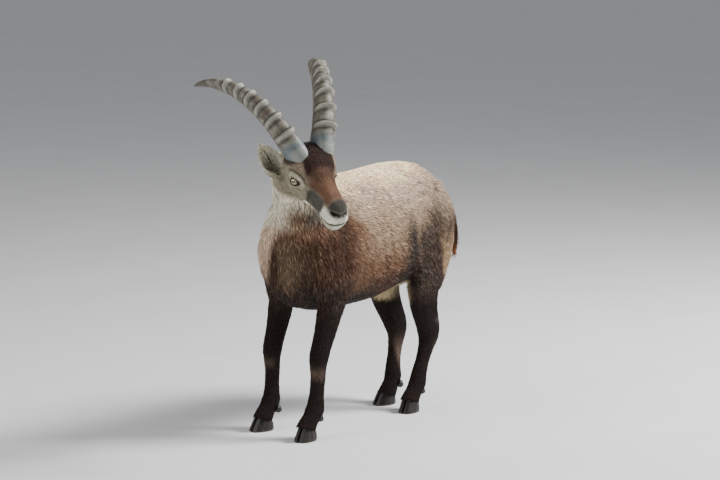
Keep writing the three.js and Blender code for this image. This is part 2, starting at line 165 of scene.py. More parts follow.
def settle(piece):
    # applies the modifiers, so the place is in the mesh
    graph = bpy.context.evaluated_depsgraph_get()
    mesh = bpy.data.meshes.new_from_object(piece.evaluated_get(graph))
    piece.modifiers.clear()
    piece.vertex_groups.clear()
    piece.data = mesh
    return piece


def pointsOf(mesh):
    points = np.empty(len(mesh.vertices) * 3)
    mesh.vertices.foreach_get("co", points)
    return points.reshape(-1, 3)


def normalsOf(mesh):
    normals = np.empty(len(mesh.vertices) * 3)
    mesh.vertices.foreach_get("normal", normals)
    return normals.reshape(-1, 3)


def movePoints(mesh, points):
    mesh.vertices.foreach_set("co", points.ravel())
    mesh.update()


def setColours(mesh, name, colours):
    layer = mesh.attributes.get(name) or mesh.attributes.new(name, "FLOAT_COLOR", "POINT")
    rgba = np.ones((len(colours), 4), np.float32)
    rgba[:, :3] = np.clip(colours, 0, 1)
    layer.data.foreach_set("color", rgba.ravel())


def smoothShaded(piece):
    piece.data.polygons.foreach_set("use_smooth", [True] * len(piece.data.polygons))
    return piece


def weigh(piece, name, weights):
    # a vertex group from an array, in a few dozen steps of weight
    group = piece.vertex_groups.new(name=name)
    steps = np.round(weights * 40).astype(int)
    for value in np.unique(steps):
        if value > 0:
            group.add(np.nonzero(steps == value)[0].tolist(), value / 40, "REPLACE")
    return group


def place(verts, points):
    for vert, co in zip(verts, points):
        vert.co = co


def meshFrom(bm, name):
    mesh = bpy.data.meshes.new(name)
    bm.to_mesh(mesh)
    bm.free()
    return mesh


def mergedCopy(bm, name, grow):
    # adds a CAD node to bm, its loose triangles merged and its surface moved out by grow
    part = bmesh.new()
    part.from_mesh(nodes[name].data)
    bmesh.ops.remove_doubles(part, verts=part.verts, dist=1e-6)
    part.normal_update()
    for vert in part.verts:
        vert.co += vert.normal * grow
    mesh = meshFrom(part, "part")
    bm.from_mesh(mesh)
    bpy.data.meshes.remove(mesh)


def addRemesh(piece, voxel):
    remesh = piece.modifiers.new("join", "REMESH")
    remesh.mode = "VOXEL"
    remesh.voxel_size = voxel


def addSmooth(piece, times, group=""):
    soften = piece.modifiers.new("soften", "SMOOTH")
    soften.iterations = times
    soften.vertex_group = group


# Materials

def setInputs(node, values):
    for name, value in values.items():
        node.inputs[name].default_value = value


def join(tree, source, output, target, socket):
    tree.links.new(source.outputs[output], target.inputs[socket])


def newMaterial(name, roughness, specular):
    material = bpy.data.materials.new(name)
    material.use_nodes = True
    tree = material.node_tree
    shader = tree.nodes["Principled BSDF"]
    setInputs(shader, {"Roughness": roughness, "Specular IOR Level": specular})
    return material, tree, shader


def noiseOn(tree, scale, detail, stretch=(1, 1, 1)):
    coords = tree.nodes.new("ShaderNodeTexCoord")
    mapping = tree.nodes.new("ShaderNodeMapping")
    noise = tree.nodes.new("ShaderNodeTexNoise")
    setInputs(mapping, {"Scale": stretch})
    setInputs(noise, {"Scale": scale, "Detail": detail})
    join(tree, coords, "Object", mapping, "Vector")
    join(tree, mapping, "Vector", noise, "Vector")
    return noise


def rangeOf(tree, noise, low, high, start=0, end=1):
    ramp = tree.nodes.new("ShaderNodeMapRange")
    setInputs(ramp, {"From Min": start, "From Max": end, "To Min": low, "To Max": high})
    join(tree, noise, "Fac", ramp, "Value")
    return ramp


def colouredBy(attribute, name, roughness, specular, grain, tint, bump=None):
    # a material with an attribute's colour, made darker and lighter by a noise
    material, tree, shader = newMaterial(name, roughness, specular)
    noise = noiseOn(tree, *grain)
    layer = tree.nodes.new("ShaderNodeAttribute")
    layer.attribute_name = attribute
    mix = tree.nodes.new("ShaderNodeMix")
    mix.data_type = "RGBA"
    mix.blend_type = "MULTIPLY"
    setInputs(mix, {"Factor": 1})
    join(tree, layer, "Color", mix, "A")
    join(tree, rangeOf(tree, noise, *tint, 0.3, 0.7), "Result", mix, "B")
    join(tree, mix, "Result", shader, "Base Color")
    if bump:
        relief = tree.nodes.new("ShaderNodeBump")
        setInputs(relief, {"Strength": bump[0], "Distance": bump[1]})
        join(tree, noise, "Fac", relief, "Height")
        join(tree, relief, "Normal", shader, "Normal")
    return material, shader


# Camera, from the side that the photograph shows
cameraView = {
    "azimuth": 38,
    "elevation": 12,
    "distance": 8.0,
    "anchor": (0.082, 0.165, 0.0),  # a floor point from the spine's frame, low in the picture
    "aim": (-0.159, 0.555),  # the picture's middle, to the right of and above that point
    "lens": 123.2,
    "sensor": 36,
    "farthest": 100,
}


def makeCamera(s=cameraView):
    azimuth, elevation = math.radians(s["azimuth"]), math.radians(s["elevation"])
    back = Vector((
        math.sin(azimuth) * math.cos(elevation),
        -math.cos(azimuth) * math.cos(elevation),
        math.sin(elevation),
    ))
    right = Vector((math.cos(azimuth), math.sin(azimuth), 0))
    up = back.cross(right)
    anchor = Vector(s["anchor"]) + Vector(spineAt)
    stand = anchor + back * s["distance"]
    target = anchor + right * s["aim"][0] + up * s["aim"][1]
    data = bpy.data.cameras.new("camera")
    data.lens = s["lens"]
    data.sensor_width = s["sensor"]
    data.clip_end = s["farthest"]
    camera = newObject("camera", data)
    camera.location = stand
    camera.rotation_euler = (target - stand).to_track_quat("-Z", "Y").to_euler()
    bpy.context.scene.camera = camera


# Markings of the hide, shared by the skin and the coat
# Some tones paint light and shade: the pale back and upper neck are partly painted sunlight, the pale
# right front of the chest is painted sunlight, and the dark fold before the thigh and the dark on the neck
# under the jaw are painted shade.
hideTones = {
    "back": "f1d3aa", "upperFlank": "b39d88", "flank": "968068", "lowerFlank": "64452f",
    "belly": "22160f", "shoulder": "432819", "behindShoulder": "71543f", "chest": "44301f",
    "chestLow": "2c1f18", "neck": "e2d8c2", "neckSide": "6b4c3a", "throat": "7a5d43",
    "rump": "a08b79", "fold": "150c08", "thighFront": "3a2c24", "thighBack": "c2a27d",
    "leg": "1e130f", "knee": "6d5a4e", "hockTuft": "c9bfae", "groin": "e8d2a6", "face": "8e8772",
    "brow": "8b7a66", "forehead": "33211a", "bridge": "775744", "noseTop": "46443d",
    "noseSide": "4b4a42", "muzzle": "dedccb", "lip": "b5b09d", "dark": "1b1512",
    "eyeRing": "b9b39b", "cheek": "8a7f6b", "earInside": "beb9a3", "earBack": "8a7f6c",
    "earFold": "241b16", "tail": "4a3224", "tailTip": "94592f", "underJaw": "322c22",
    "rust": "3e2216", "chestPale": "dcbfa6",
}
tones = tonesOf(hideTones)


def mouthHeight(x):
    return -32 + 15 * step(x, 205, 252) - 2 * hill(x, 262, 12)


def headShare(h):
    # 1 on the head, 0 on the neck
    inside = step(h[:, 0], -34, 2) * step(h[:, 2], -104, -88) * step(-h[:, 2], -125, -112)
    return inside * step(-np.abs(h[:, 1]), -102, -92)


def faceMarkings(h):
    x, y, z = h[:, 0], np.abs(h[:, 1]), h[:, 2]
    eye = np.hypot(x - 108, (z - 20) * 1.25)
    fold = hill(eye, 36, 3.8) * step(y, 30, 44)
    fold = fold * (0.35 + 0.65 * step(z, 22, 34) + 0.3 * fall(z, -16, -4))
    # the dark forehead ends in a sharp edge against the grey temples
    forehead = step(x, 34, 52) * fall(y, 41, 48) * step(z, 46, 62) * fall(x, 136, 178)
    bridge = step(x, 132, 168) * fall(x, 232, 254) * step(z, 24 - 8 * step(x, 200, 240), 34)
    # the bridge darkens into the forehead at its rear, and its sides are darkened as painted shade beside
    # its lighter middle
    bridgeRearAndSideShade = np.maximum(0.55 * fall(x, 150, 196), 0.25 * step(y, 12, 26))
    # a dark streak down the side of the face ahead of the eye; its lower end is painted shadow where the
    # jaw meets the neck
    streakAndJawShadow = hill(x, 151 + 0.3 * (z + 10), 9) * fall(z, 6, 22) * step(y, 10, 20)
    hornRim = np.zeros(len(h))
    for side in sides:
        root, way = hornAxis(side)
        v = h - root
        front = hornFront(side, way)
        around = np.hypot(v @ front / 56, v @ np.cross(way, front) / 34)
        hornRim = np.maximum(hornRim, fall(around, 1.12, 1.3) * step(v @ way, 0, 10))
    return layered(tones, "face", len(h), [
        ("cheek", 0.5 * fall(z, -66, -44) * fall(x, 90, 165)),
        ("brow", 0.8 * step(z, 34, 50) * step(x, 30, 60)),
        ("eyeRing", 0.9 * hill(eye, 23, 8) * step(y, 34, 48)),
        ("dark", 0.8 * np.minimum(fold, 1)),
        ("forehead", forehead),
        ("bridge", bridge),
        ("forehead", bridge * bridgeRearAndSideShade),
        ("noseSide", step(x, 146, 166) * fall(x, 218, 232) * fall(z, 24, 34)),
        ("dark", 0.85 * streakAndJawShadow),
        ("noseTop", step(x, 238, 250) * step(z, 22, 30)),
        ("muzzle", step(x + 0.35 * (12 - z), 222, 234) * fall(z, 16, 26) * step(y, 8, 16)),
        ("lip", step(x, 208, 226) * fall(z, -20, -8)),
        ("muzzle", 0.8 * step(x, 258, 266) * fall(z, 8, 14) * fall(y, 12, 20)),
        ("noseTop", 0.8 * step(x, 262, 270) * hill(z, 19, 9) * fall(y, 8, 14)),
        ("noseTop", 0.7 * nostrilShare(h, 1.7)),
        ("dark", 1.8 * nostrilShare(h, 1.0)),
        ("dark", 1.4 * step(x, 205, 213) * hill(z, mouthHeight(x), 3.3)),
        ("dark", 0.8 * hornRim),
    ])


def nostrilShare(h, size):
    # 1 in the comma of a nostril, which runs back and up from the front of the nose
    x, y, z = h[:, 0], np.abs(h[:, 1]), h[:, 2]
    lengthwise = (x - 266) * 0.8 - (y - 17) * 0.5
    crosswise = z - 18 - 0.2 * (267 - x)
    return hill(lengthwise / (14 * size), 0, 1) * hill(crosswise / (6 * size), 0, 1) * step(y, 1.5, 6)


def hornAxis(side):
    turn = np.array([1, sides[side], 1])
    return np.array(headPose["hornRoot"]) * turn, unit(np.array(headPose["hornWay"]) * turn)


def hornFront(side, ahead):
    # the way that a horn's bossed side looks where the horn runs ahead
    front = np.array(headPose["hornFace"]) * np.array([1, sides[side], 1])
    return unit(front - ahead * (ahead @ front)[..., None])


def bodyMarkings(p):
    x, y, z = p.T
    out = np.abs(x)
    grain = wobble(p, 120, 5)
    high = z + 16 * grain
    behind = step(-y - 0.3 * (600 - z), 50, 150) * step(high, 420, 480) * fall(high, 630, 710)
    neck = step(-y - 0.3 * (z - 650), 225, 300) * step(z, 600, 650)
    # painted sunlight on the right front of the chest; the throat is darker on the left, with painted
    # shadow on the neck under the jaw
    chestPale = 0.8 * fall(y, -350, -300) * step(-x - 0.25 * (640 - z), -12, 14)
    chestPale = chestPale * step(z, 470, 560) * fall(z, 640, 690)
    throat = hill(np.linalg.norm(p - np.array([84, -380, 690]), axis=1), 0, 46)
    # painted shadow on the neck under the jaw
    fromJaw = (p - np.array([100, -336, 702])) * np.array([1, 0.8, 0.9])
    underJaw = hill(np.linalg.norm(fromJaw, axis=1), 0, 38)
    # the fold before the thigh, darkened with painted shade in its crease, and the thigh's pale back edge
    haunch = hill(y, 264, 38) * hill(z, 640, 42) * step(out, 60, 95)
    fold = hill(y + 8 * grain, 116 + 0.1 * (560 - z), 36 + 0.06 * (650 - z))
    fold = fold * fall(z, 580, 690) * step(z, 395, 440)
    pale = step(y - 0.25 * (510 - z) + 12 * grain, 262, 310)
    pale = pale * step(z, 330, 400) * fall(high, 500, 640)
    groin = hill(y, 190, 62) * fall(z, 415, 440) * step(z, 335, 365) * fall(out, 62, 96)
    knee = (y < 0) * hill(z, 216 + 8 * grain, 17) * fall(y, -322, -300)
    shank = (y > 0) * hill(z, 165, 44) * step(y, 246, 262)
    tuft = (y > 0) * hill(z, 292, 9) * hill(out, 96, 16) * step(y, 244, 262)
    return layered(tones, "belly", len(p), [
        ("lowerFlank", step(high, 415, 470)),
        ("rust", step(y, -70, 10) * fall(high, 440, 500)),
        ("flank", step(high, 500, 640)),
        ("upperFlank", step(high, 620, 730)),
        # the pale back is partly painted sunlight on the top of the back
        ("back", step(high, 725, 785)),
        ("rump", 0.8 * step(y, 170, 280) * step(high, 590, 700) * fall(high, 775, 820)),
        ("behindShoulder", behind),
        ("shoulder", fall(y, -205, -130) * fall(high, 650, 730)),
        ("chest", fall(y, -345, -285) * fall(high, 640, 700)),
        ("chestLow", fall(y, -240, -120) * fall(high, 430, 520)),
        ("neckSide", neck),
        # the pale upper neck is partly painted sunlight
        ("neck", neck * step(z + 0.35 * (60 - x), 640, 710)),
        ("chestPale", chestPale),
        ("flank", 0.3 * fall(y, -386, -356) * step(x, 0, 24) * fall(high, 600, 650)),
        ("throat", throat),
        ("underJaw", 0.85 * underJaw),
        ("thighFront", step(y, 130, 175) * fall(high, 590, 670)),
        ("thighFront", 0.8 * haunch),
        ("fold", fold * step(out, 50, 85)),
        ("thighBack", 0.75 * pale),
        ("groin", groin),
        ("leg", fall(z, 330, 420) * (1 - 0.9 * groin)),
        ("knee", 0.55 * knee),
        ("knee", 0.9 * shank),
        ("hockTuft", 0.4 * tuft),
    ])


def markings(points):
    body, head = toBody(points), toHead(points)
    count = len(points)
    colour = paint(bodyMarkings(body), faceMarkings(head), headShare(head))
    for side in sides:
        along, across, out = earPlace(points, side)
        on = step(along, 8, 20) * fall(np.abs(across), 36, 40) * step(out, -34, -30)
        on = on * fall(out, 26, 30) * (along < 125)
        inner = earInner(along, across, out)
        ear = layered(tones, "earBack", count, [
            ("earInside", inner),
            ("earFold", 0.95 * inner * hill(across - 3, 0, 2.4) * fall(along, 70, 90)),
            ("earFold", 0.5 * inner * hill(across + 9, 0, 1.6) * fall(along, 50, 70)),
            ("earInside", 0.7 * step(np.abs(across), 19, 24)),
        ])
        colour = paint(colour, ear, on)
    y, z = body[:, 1], body[:, 2]
    tail = layered(tones, "tail", count, [("tailTip", fall(z, 490, 530))])
    return paint(colour, tail, step(y, 436, 446) * step(z, 440, 460))


# The ears' own directions, as they leave the head
earWays = {
    "left": {"reach": (-0.9, 0.36, 0.25), "open": (0.3, 0.9, 0.3)},
    "right": {"reach": (-0.75, -0.38, 0.53), "open": (0.7, -0.07, 0.71)},
}


def earAxes(side):
    reach = unit(np.array(earWays[side]["reach"]))
    way = np.array(earWays[side]["open"])
    way = unit(way - reach * (way @ reach))
    return reach, np.cross(reach, way), way


def earPlace(points, side):
    # along the ear, across it and out of its cup, in millimetres of the head
    reach, across, way = earAxes(side)
    x, y, z = headPose["earRoot"]
    h = toHead(points) - np.array([x, y * sides[side], z])
    return h @ reach, h @ across, h @ way


def earInner(along, across, out):
    # 1 on the inside of the cup, whose radius changes along the ear as the solid's does
    share = np.clip(along / 102, 0, 1)
    leaf = np.sin(math.pi * np.minimum(share * 0.72 + 0.16, 1)) ** 1.3
    width = (13 + 18 * leaf) * np.sqrt(1 - share ** 4)
    bend = np.radians(150 - 110 * step(share, 0, 0.75))
    radius = np.maximum(width, 3) / np.sin(np.minimum(bend, math.pi / 2))
    middle = -12 * np.sin(math.pi * share) + radius * np.minimum(1, np.cos(bend) + 0.35)
    return step(radius - np.hypot(across, out - middle), -0.6, 0.4)


def byEar(points, side, start=4, end=132, wide=44, deep=38):
    # whether a place is on the ear, within these millimetres along it, across and out
    along, across, out = earPlace(points, side)
    return (along > start) & (along < end) & (np.abs(across) < wide) & (np.abs(out) < deep)


# Skin: one mesh for all the flesh, drawn inside the CAD nodes by the coat's depth
skinSettings = {
    "flesh": [name for name in nodes if not name.startswith(("horn", "eye", "claw", "dewclaw"))],
    "grow": 0.0005,  # closes the gaps between the nodes
    "earGrow": 0.0012,
    "voxel": 0.0025,
    "smoothing": 60,
    "finest": 0.0011,  # the shortest edge that is split
    "triangles": 171120,  # before the eyes, nostrils and mouth get finer ones
    "hornBuried": 30,  # how much of a horn's root the skin covers
    "depthBody": 4.8,  # how deep the skin lies below the coat, in millimetres
    "depthLeg": 2.2,
    "depthHead": 2.2,
    "depthEar": 1.6,
}


def coatDepth(points, s=skinSettings):
    # how deep the skin lies under the outline of the coat, in millimetres
    body, head = toBody(points), toHead(points)
    depth = s["depthLeg"] + (s["depthBody"] - s["depthLeg"]) * step(body[:, 2], 300, 430)
    faceDepth = s["depthHead"] * (1 - 0.5 * step(head[:, 0], 150, 230))
    depth = depth + (faceDepth - depth) * headShare(head)
    for side in sides:
        depth = np.where(byEar(points, side, 14, 130, 42, 36), s["depthEar"], depth)
    return depth


def softness(points):
    # how much each place is smoothed: most on the trunk, little on the legs and face
    body, head = toBody(points), toHead(points)
    weight = 0.13 + 0.87 * step(body[:, 2], 330, 470)
    weight = np.where(body[:, 1] > 436, 0.3, weight)
    weight = weight + (0.08 - weight) * headShare(head)
    for side in sides:
        weight = np.where(byEar(points, side, 6), 0.02, weight)
    return weight


# Eyes: the opening between the lids is an almond, drawn in the eye's own plane
eyeSettings = {
    "reach": 15.5,  # half the opening's width
    "upper": 7.8,
    "lower": 6.2,
    "tilt": -6,  # degrees that the front corner lies lower
    "lid": 1.7,  # thickness of the lids over the eyeball
    "rim": 3.2,  # width of the bare dark rim
    "brow": 2.4,
}


def eyeAxes(side):
    look = np.array(headPose["eyeLook"])
    look = unit(look * np.array([1, sides[side], 1]))
    forward = unit(np.array([1.0, 0, 0]) - look * look[0])
    up = np.cross(forward, look) * sides[side]
    turn = math.radians(eyeSettings["tilt"])
    ahead = forward * math.cos(turn) - up * math.sin(turn)
    return look, ahead, forward * math.sin(turn) + up * math.cos(turn)


def eyeCentre(side):
    x, y, z = headPose["eye"]
    return np.array([x, y * sides[side], z])


def inEye(h, side):
    # a place from the eye's centre: the whole way, then out of the eye, ahead and up
    look, ahead, up = eyeAxes(side)
    v = h - eyeCentre(side)
    return v, v @ look, v @ ahead, v @ up


def lidEdge(a, u, s=eyeSettings):
    # how far a place is outside the almond, in millimetres, less than 0 inside it
    arch = np.clip(1 - (a / s["reach"]) ** 2, 0, 1)
    over = u - (s["upper"] * arch ** 0.8 - 0.6)
    under = -s["lower"] * arch - u - 0.6
    beyond = np.abs(a) - s["reach"]
    return np.maximum(np.maximum(over, under) * 0.85, beyond)


def formEyes(h, s=eyeSettings):
    ball = headPose["eyeRadius"]
    for side in sides:
        v, out, a, u = inEye(h, side)
        away = np.linalg.norm(v, axis=1)
        near = (out > 2) & (away < 40)
        edge = lidEdge(a, u)
        lidRadius = ball + s["lid"] * (0.45 + 0.55 * step(edge, 0, 3)) + 0.5 * hill(edge, 1.6, 1.2)
        radius = np.where(edge < 0, ball - 4.5 * fall(edge, -1.0, 0) + s["lid"] * 0.3, lidRadius)
        cover = step(-np.hypot(a, u), -ball * 1.15, -ball * 0.92)
        want = v / np.maximum(away, 1e-6)[:, None] * radius[:, None]
        share = np.where(near, cover, 0)
        h = h + (want - v) * share[:, None]
        # brow over the eye, the bag below it and the fold that runs forward from its corner
        brow = s["brow"] * hill(u, 15, 6) * hill(a, 0, 17)
        bag = 1.6 * hill(u, -13, 4) * hill(a, 2, 14)
        corner = -1.6 * hill(u, -3.5, 3.4) * hill(a, 18, 7)
        lift = np.where(near, brow + bag + corner, 0) * (1 - share)
        h = h + eyeAxes(side)[0] * lift[:, None]
    return h


def formMuzzle(h):
    x, y, z = h.T
    side = np.sign(y)
    out = np.abs(y)
    # the slit between the lips, and the lips' own roundness
    gap = z - mouthHeight(x)
    mouth = step(x, 203, 214)
    push = -4.6 * mouth * hill(gap, 0, 2.1) + 1.3 * mouth * (hill(gap, 6.5, 3.6) + hill(gap, -7, 3.8))
    inward = unit(np.stack([0.5 * step(x, 250, 275), side * step(out, 0, 12), np.zeros(len(h))], 1) + 1e-9)
    h = h + inward * push[:, None]
    # comma-shaped nostrils with a raised rim round them
    wide = nostrilShare(h, 1.6) - nostrilShare(h, 1.0)
    h = h - inward * (7.5 * nostrilShare(h, 0.85) - 2.2 * wide)[:, None]
    # the groove between the nostrils, and the chin's edge
    middle = -1.5 * hill(y, 0, 2.2) * step(x, 262, 276) * fall(z, 0, 10) * step(z, -28, -20)
    h[:, 0] += middle
    return h


# Low forms: a height, then the middle and reach along, and the middle and reach upwards
faceForms = {
    "cheek": (3.2, 66, 26, -38, 20),
    "hollow": (-3.4, 134, 22, -16, 14),
    "temple": (-3.0, 62, 13, 30, 12),
    "jaw": (2.0, 92, 46, -64, 9),
    "lip": (2.0, 236, 24, -14, 9),
}
bodyForms = {
    "behindBlade": (-5, -122, 30, 600, 100),
    "elbow": (5, -196, 24, 452, 26),
    "flankHollow": (-9, 176, 38, 618, 62),
    "haunch": (6, 226, 28, 730, 26),
    "stifle": (5, 172, 26, 470, 40),
}


def lowForms(forms, along, up):
    return sum(form[0] * hill(along, *form[1:3]) * hill(up, *form[3:]) for form in forms.values())


def formFace(h):
    x, y, z = h.T
    crest = 2.2 * hill(x, 132, 34) * hill(z, 12 - 0.12 * (x - 132), 6)
    outwards = np.sign(y) * step(np.abs(y), 8, 26) * (lowForms(faceForms, x, z) + crest)
    bridge = 2.0 * hill(x, 176, 34) * hill(y, 0, 14) * step(z, 30, 46)
    return h + np.stack([np.zeros(len(h)), outwards, bridge], 1)


def formBody(p):
    # muscles, tendons and bones that show through the coat
    x, y, z = p.T
    side = np.sign(x)
    out = np.abs(x)
    lateral = step(out, 30, 80)
    blade = 5 * hill(y + 196 - 0.35 * (z - 640), 0, 16) * hill(z, 660, 80)
    ribs = 0.9 * np.sin((y - 0.3 * (600 - z)) / 42 * 2 * math.pi) * hill(y, 0, 100) * hill(z, 560, 90)
    # the belly draws up towards the flank
    tuck = 9 * hill(y, 130, 60) * fall(z, 400, 440) * step(z, 330, 370) * fall(out, 90, 110)
    p = p.copy()
    p[:, 2] += tuck
    p[:, 0] += side * lateral * (lowForms(bodyForms, y, z) + blade + ribs)
    # uneven lie of the coat over the trunk
    lift = wobble(p, 90, 11) * 1.6 + wobble(p, 34, 12) * 0.7
    p[:, 0] += side * lateral * lift * step(z, 380, 470)
    return p


def makeSkin(s=skinSettings):
    bm = bmesh.new()
    for name in s["flesh"] + ["eye_left", "eye_right"]:
        mergedCopy(bm, name, s["earGrow"] if name.startswith("ear") else s["grow"])
    for side in sides:
        # the horn's root fills its pocket in the head
        root, way = hornAxis(side)
        horn = bmesh.new()
        mergedCopy(horn, "horn_" + side, s["grow"])
        bmesh.ops.bisect_plane(
            horn,
            geom=horn.verts[:] + horn.edges[:] + horn.faces[:],
            plane_co=fromHead(root + way * s["hornBuried"]),
            plane_no=headTurn @ way,
            clear_outer=True,
        )
        bmesh.ops.holes_fill(horn, edges=[edge for edge in horn.edges if edge.is_boundary])
        bm.from_mesh(meshFrom(horn, "root"))
    skin = newObject("skin", meshFrom(bm, "skin"))
    addRemesh(skin, s["voxel"])
    settle(skin)
    print("skin joined,", len(skin.data.vertices), "points")

    weigh(skin, "soft", softness(pointsOf(skin.data)))
    addSmooth(skin, s["smoothing"], "soft")
    settle(skin)

    # the face keeps most of its faces, the trunk and legs few
    head = toHead(pointsOf(skin.data))
    keep = 0.18 + 0.82 * step(head[:, 0], -10, 40) * headShare(head)
    keep = np.where(head[:, 0] < 150, np.minimum(keep, 0.75), keep)
    weigh(skin, "keep", 1 - keep)
    thin = skin.modifiers.new("thin", "DECIMATE")
    thin.vertex_group = "keep"
    thin.vertex_group_factor = 1
    thin.ratio = s["triangles"] / (2 * len(skin.data.polygons))
    settle(skin)
    print("skin thinned,", len(skin.data.polygons), "faces")

    # finer faces at the eyes, nostrils and mouth before their forms are drawn
    bm = bmesh.new()
    bm.from_mesh(skin.data)
    bmesh.ops.triangulate(bm, faces=bm.faces)
    for _ in range(2):
        places = toHead(np.array([(e.verts[0].co + e.verts[1].co) / 2 for e in bm.edges]))
        fine = (nostrilShare(places, 1.5) > 0.2) & (places[:, 0] > 244)
        fine |= (places[:, 0] > 202) & (np.abs(places[:, 2] - mouthHeight(places[:, 0])) < 3.6)
        for side in sides:
            v, out, a, u = inEye(places, side)
            fine |= (out > 0) & (np.abs(lidEdge(a, u)) < 4.5) & (np.linalg.norm(v, axis=1) < 26)
        bm.edges.ensure_lookup_table()
        chosen = [bm.edges[i] for i in np.nonzero(fine)[0]]
        chosen = [edge for edge in chosen if edge.calc_length() > s["finest"]]
        bmesh.ops.subdivide_edges(bm, edges=chosen, cuts=1, use_grid_fill=True)
        bmesh.ops.triangulate(bm, faces=bm.faces)
    bm.to_mesh(skin.data)
    bm.free()

    points = pointsOf(skin.data)
    points -= normalsOf(skin.data) * (coatDepth(points) / 1000)[:, None]
    head = toHead(points)
    share = headShare(head)[:, None]
    formed = fromHead(formEyes(formMuzzle(formFace(head))))
    points = points + (formed - points) * share
    body = formBody(toBody(points))
    points = points + (body / 1000 + spineAt - points) * (1 - share)
    movePoints(skin.data, points)
    print("skin formed,", len(skin.data.polygons), "faces")
    return smoothShaded(skin)


def colourHide(piece):
    points = pointsOf(piece.data)
    colour = markings(points) * mottle(points)[:, None]
    head = toHead(points)
    for side in sides:
        # the bare dark rim of the lids, and the dark in their corners
        v, out, a, u = inEye(head, side)
        near = (out > 0) & (np.linalg.norm(v, axis=1) < 30)
        rim = step(-lidEdge(a, u), -4.2, -3.0)
        front = hill(np.hypot(a - 19, (u + 2.5) * 1.9), 0, 6)
        rear = hill(np.hypot(a + 19, (u + 1) * 1.9), 0, 5.5)
        colour = paint(colour, tones["dark"], near * np.maximum(rim, np.maximum(front, rear)))
    setColours(piece.data, "hide", colour)

skin = makeSkin()
colourHide(skin)
skinLook, _ = colouredBy(
    "hide", "skinHide", 0.85, 0.12, grain=(520, 4), tint=(0.72, 1.0), bump=(0.5, 0.0008),
)
skin.data.materials.clear()
skin.data.materials.append(skinLook)
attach(skin, "root")
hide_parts(*skinSettings["flesh"])


# Eyes: a wet ball with a yellow iris and a pupil that lies level
eyeballSettings = {
    "segments": (64, 48),
    "radius": 0.985,  # as a share of the solid eye's
    "cornea": 0.035,  # how far it stands proud, as a share of the radius
    "pupil": (6.8, 2.7),  # half its width and half its height
    "tones": {
        "iris": "9a875a", "irisRim": "2c211a", "pupil": "050407", "white": "1c1512", "gleam": "b9ab80",
    },
}


def makeEye(side, s=eyeballSettings):
    radius = headPose["eyeRadius"]
    bm = bmesh.new()
    across, down = s["segments"]
    bmesh.ops.create_uvsphere(bm, u_segments=across, v_segments=down, radius=radius * s["radius"])
    look, ahead, up = eyeAxes(side)
    local = np.array([vert.co for vert in bm.verts])
    # the ball's pole looks out, and its cornea stands a little proud
    local *= (1 + s["cornea"] * step(local[:, 2] / radius, 0.72, 0.95))[:, None]
    placed = fromHead(eyeCentre(side) + local @ np.stack([ahead, up, look]))
    place(bm.verts, placed)
    bmesh.ops.recalc_face_normals(bm, faces=bm.faces)
    mesh = meshFrom(bm, "eye")
    # the pupil lies level, whatever the head's pitch and roll
    level = unit(np.cross(headTurn.T @ np.array([0, 0, 1.0]), look))
    level = unit(np.stack([ahead, up]) @ level)
    a = local[:, 0] * level[0] + local[:, 1] * level[1]
    u = local[:, 1] * level[0] - local[:, 0] * level[1]
    around, angle = np.hypot(a, u), np.arctan2(u, a)
    spokes = 0.5 + 0.5 * np.sin(angle * 34) * np.sin(angle * 9 + 1)
    pupil = np.hypot(a / s["pupil"][0], u / s["pupil"][1])
    setColours(mesh, "eyeColour", layered(tonesOf(s["tones"]), "white", len(local), [
        ("irisRim", fall(around, 10.0, 10.6)),
        ("iris", fall(around, 8.2, 9.4)),
        ("gleam", 0.5 * spokes * hill(around, 6.4, 2.2)),
        ("pupil", fall(pupil, 0.92, 1.12)),
        ("white", fall(local[:, 2], 1, 3)),
    ]))
    return smoothShaded(newObject("eyeball_" + side, mesh))


eyeLook, shader = colouredBy("eyeColour", "wetEye", 0.06, 0.6, grain=(900, 2), tint=(0.9, 1.05))
setInputs(shader, {"Coat Weight": 0.6, "Coat Roughness": 0.03})
for side in sides:
    ball = makeEye(side)
    ball.data.materials.append(eyeLook)
    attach(ball, "root")
    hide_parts("eye_" + side)
print("eyes made")


# Horns: bosses across the front, growth rings all round
hornSettings = {
    "length": 484,
    "depth": 104,
    "width": 66,
    "lift": (52, -49),
    "spread": (22, 18),
    "bosses": [0.186, 0.294, 0.398, 0.49, 0.58, 0.672],
    "bossHeight": 11.2,
    "around": 40,
    "stations": 400,
    "ringSpacing": 5.2,  # millimetres between the fine rings
    "tones": {
        "plain": "5c5649", "pale": "9a9a8c", "groove": "1d1814",
        "rust": "46342a", "base": "586368", "tip": "4a453e",
    },
}


def hornPath(side, s=hornSettings):
    parts = 40
    length = s["length"] / headPose["scale"]
    at = hornAxis(side)[0].astype(float)
    places = []
    for i in range(parts + 1):
        share = i / parts
        places.append(at.copy())
        lift = math.radians(s["lift"][0] + (s["lift"][1] - s["lift"][0]) * share)
        spread = math.radians(s["spread"][0] + (s["spread"][1] - s["spread"][0]) * share)
        way = np.array([
            -math.cos(lift) * math.cos(spread),
            math.sin(spread) * sides[side],
            math.sin(lift) * math.cos(spread),
        ])
        at += way * length / parts
    shares = np.linspace(0, 1, parts + 1)
    return [np.polynomial.Polynomial.fit(shares, column, 6) for column in np.array(places).T]


